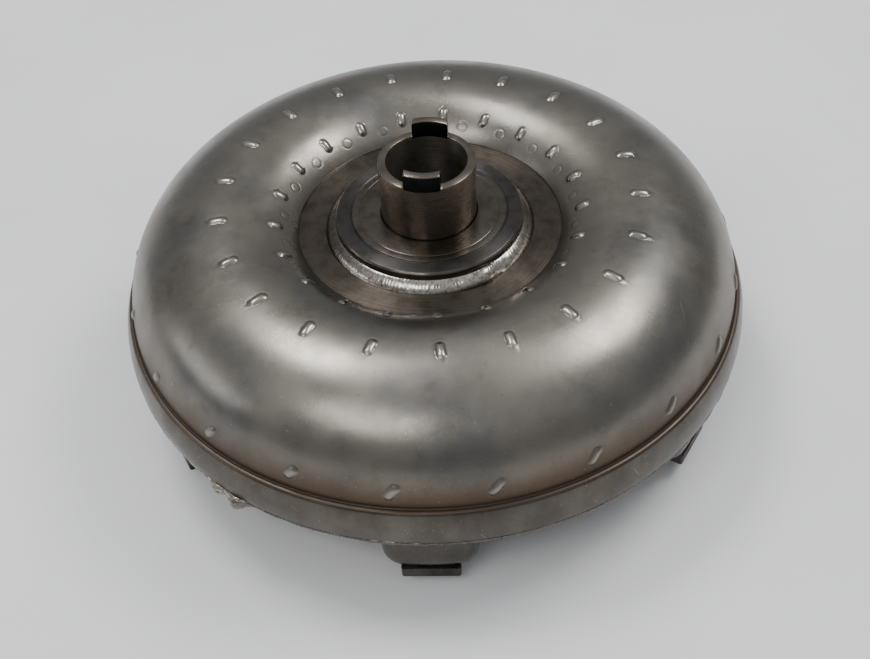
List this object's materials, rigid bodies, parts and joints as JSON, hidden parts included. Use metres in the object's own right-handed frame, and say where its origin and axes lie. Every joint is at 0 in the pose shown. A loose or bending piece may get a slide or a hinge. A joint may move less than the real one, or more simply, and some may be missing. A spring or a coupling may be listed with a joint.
{
  "type": "torque converter",
  "caption": "Welded hydrodynamic torque converter: bladed impeller housing, turbine, one-way-clutch stator, tanged drive hub and drive lugs.",
  "frame": {"origin": "centre of the crank pilot's end face, the face the unit stands on", "axes": "+Z along the shaft axis towards the drive hub; one drive lug lies on the -Y axis"},
  "size_m": [0.3202, 0.3202, 0.1442],
  "materials": {
    "shell_steel": "bare pressed steel, satin",
    "cover_steel": "bare pressed steel, satin",
    "vane_steel": "bare sheet steel",
    "turned_steel": "turned steel",
    "weld_steel": "weld bead, brushed clean",
    "lug_steel": "dark mill scale",
    "bearing_steel": "ground, hardened",
    "spring_steel": "blue spring temper",
    "rivet_steel": "bright",
    "cast_aluminium": "die cast",
    "bronze": "sintered bronze"
  },
  "bodies": {
    "housing": {"impeller_shell": "shell_steel", "impeller_vanes": "vane_steel", "impeller_core_ring": "vane_steel", "impeller_hub": "turned_steel", "hub_flange": "turned_steel", "hub_weld": "weld_steel", "front_cover": "cover_steel", "drive_lugs": "lug_steel", "lug_welds": "weld_steel", "crank_pilot": "turned_steel", "pilot_weld": "weld_steel", "balance_weight": "lug_steel", "cover_thrust_washer": "bronze", "girth_weld": "weld_steel", "hub_bearing_outer_washer": "bearing_steel"},
    "turbine": {"turbine_shell": "vane_steel", "turbine_vanes": "vane_steel", "turbine_core_ring": "vane_steel", "turbine_hub": "turned_steel", "turbine_rivets": "rivet_steel", "turbine_bearing_outer_washer": "bearing_steel"},
    "stator": {"stator_wheel": "cast_aluminium", "stator_snap_rings": "spring_steel", "clutch_outer_race": "bearing_steel", "clutch_rollers": "bearing_steel", "clutch_springs": "spring_steel", "end_plate_turbine_side": "bronze", "end_plate_impeller_side": "bronze", "hub_bearing_stator_washer": "bearing_steel", "turbine_bearing_stator_washer": "bearing_steel"},
    "inner_race": {"clutch_inner_race": "bearing_steel"},
    "hub_bearing": {"hub_bearing_cage": "spring_steel", "hub_bearing_needles": "bearing_steel"},
    "turbine_bearing": {"turbine_bearing_cage": "spring_steel", "turbine_bearing_needles": "bearing_steel"}
  },
  "joints": [
    {"name": "turbine_spin", "type": "hinge", "parent": "housing", "child": "turbine", "pos_m": [0, 0, 0.0447], "axis": [0, 0, 1], "continuous": true},
    {"name": "stator_spin", "type": "hinge", "parent": "housing", "child": "stator", "pos_m": [0, 0, 0.067], "axis": [0, 0, 1], "continuous": true},
    {"name": "clutch_overrun", "type": "hinge", "parent": "stator", "child": "inner_race", "pos_m": [0, 0, 0.067], "axis": [0, 0, 1], "range_deg": [-360, 0]},
    {"name": "hub_bearing_spin", "type": "hinge", "parent": "housing", "child": "hub_bearing", "pos_m": [0, 0, 0.08785], "axis": [0, 0, 1], "continuous": true},
    {"name": "turbine_bearing_spin", "type": "hinge", "parent": "housing", "child": "turbine_bearing", "pos_m": [0, 0, 0.04615], "axis": [0, 0, 1], "continuous": true}
  ],
  "couplings": [
    {"joint": "hub_bearing_spin", "follows": "stator_spin", "ratio": 0.5},
    {"joint": "turbine_bearing_spin", "follows": "turbine_spin", "ratio": 0.5}
  ]
}
